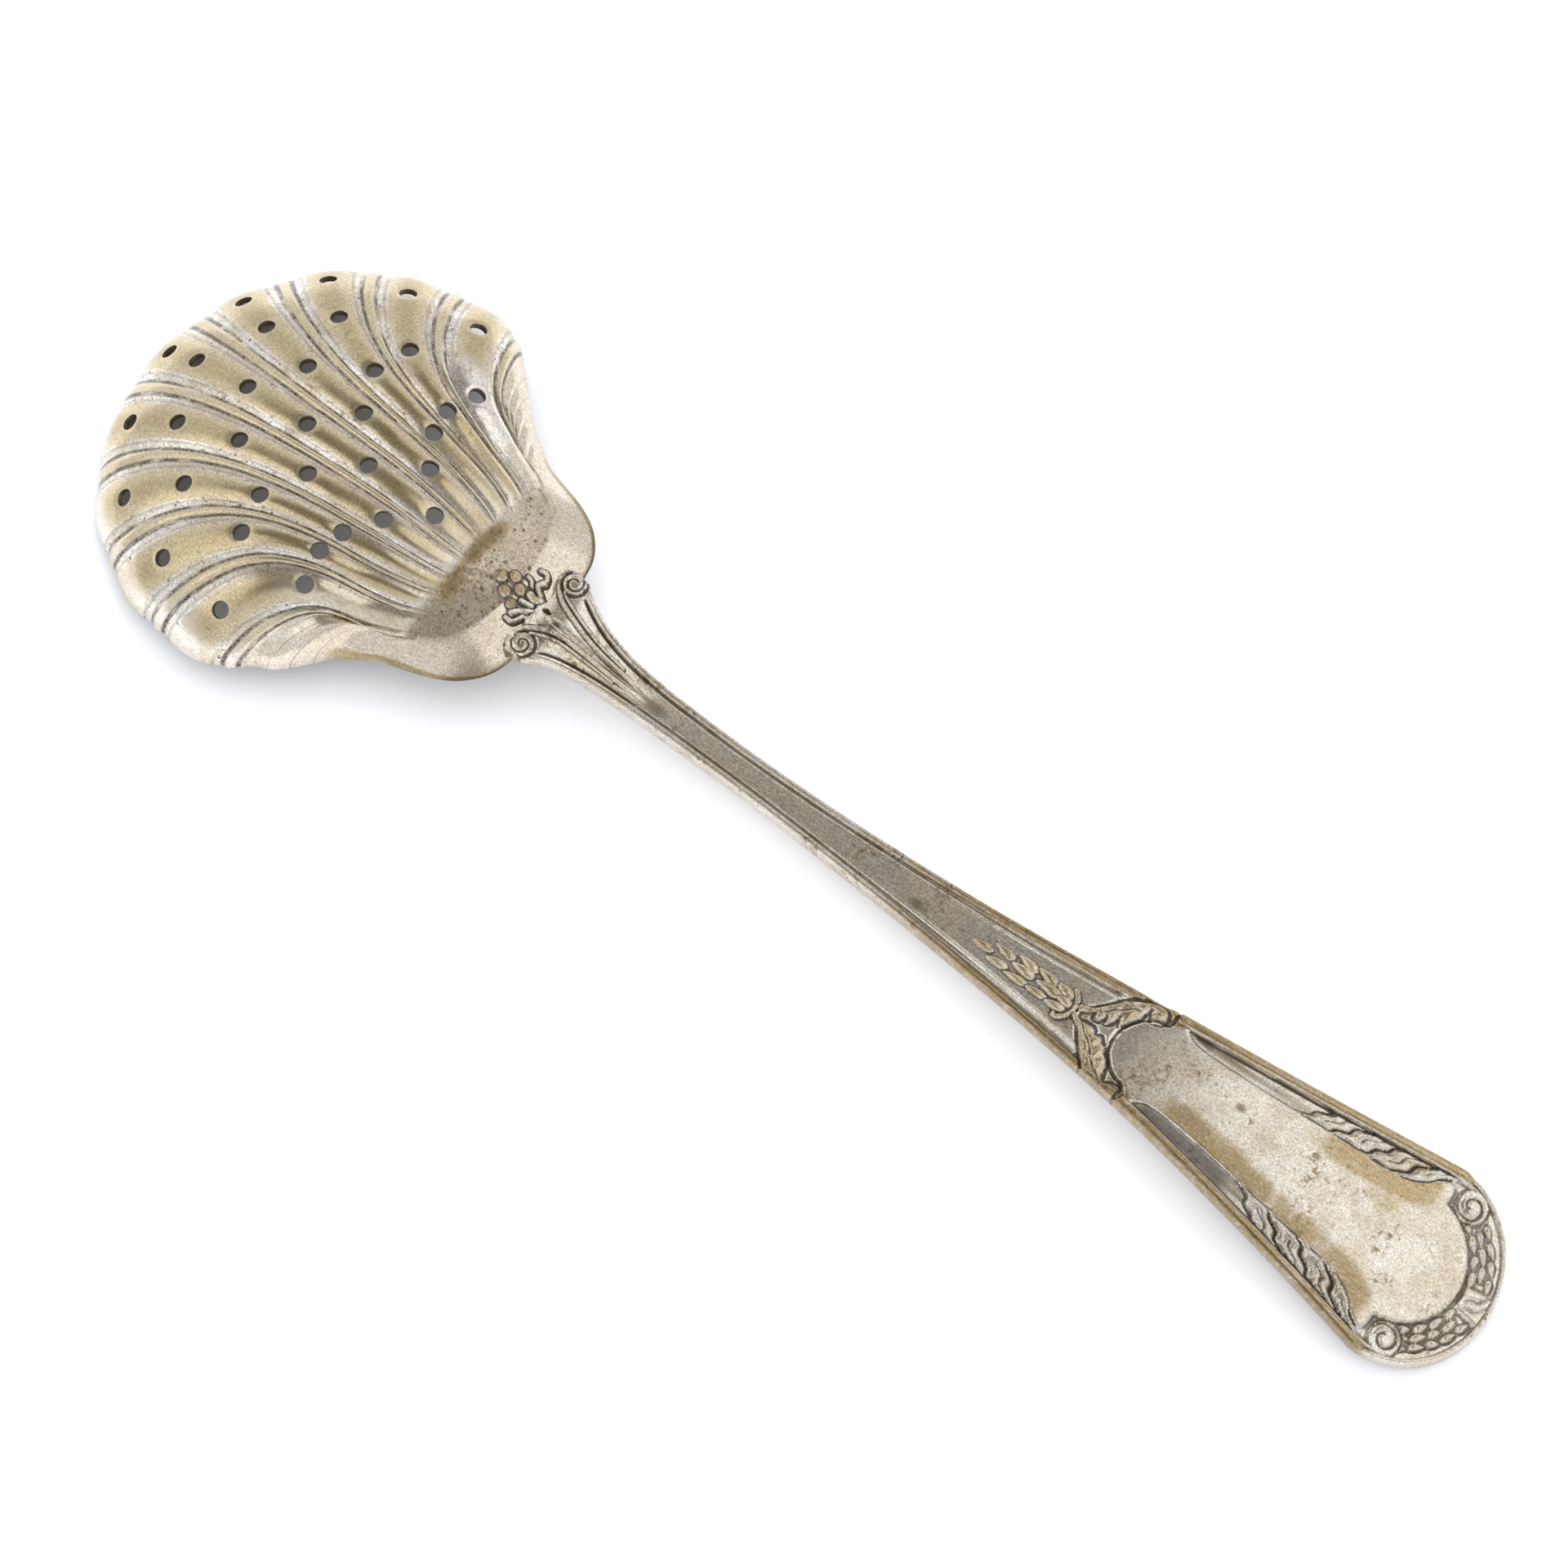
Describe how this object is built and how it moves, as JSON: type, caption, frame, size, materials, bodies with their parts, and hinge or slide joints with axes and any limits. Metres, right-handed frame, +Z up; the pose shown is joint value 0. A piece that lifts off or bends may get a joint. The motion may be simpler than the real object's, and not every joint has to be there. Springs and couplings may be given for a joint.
{
  "type": "sugar sifter spoon",
  "caption": "Sifting spoon with a fluted, pierced scallop-shell bowl and a struck, decorated handle, lying back up.",
  "frame": {"origin": "on the table, under the middle of the spoon's length", "axes": "+X from the bowl to the end of the handle, +Z up from the table with the back of the bowl up"},
  "size_m": [0.2087, 0.0604, 0.0156],
  "materials": {
    "bowl_plate": "worn silver plate over brass, satin",
    "handle_plate": "worn silver plate over brass, satin, dark in the recesses",
    "solder": "dull silver solder"
  },
  "bodies": {
    "root": {"bowl": "bowl_plate", "handle": "handle_plate", "solder_seam": "solder"}
  },
  "joints": []
}
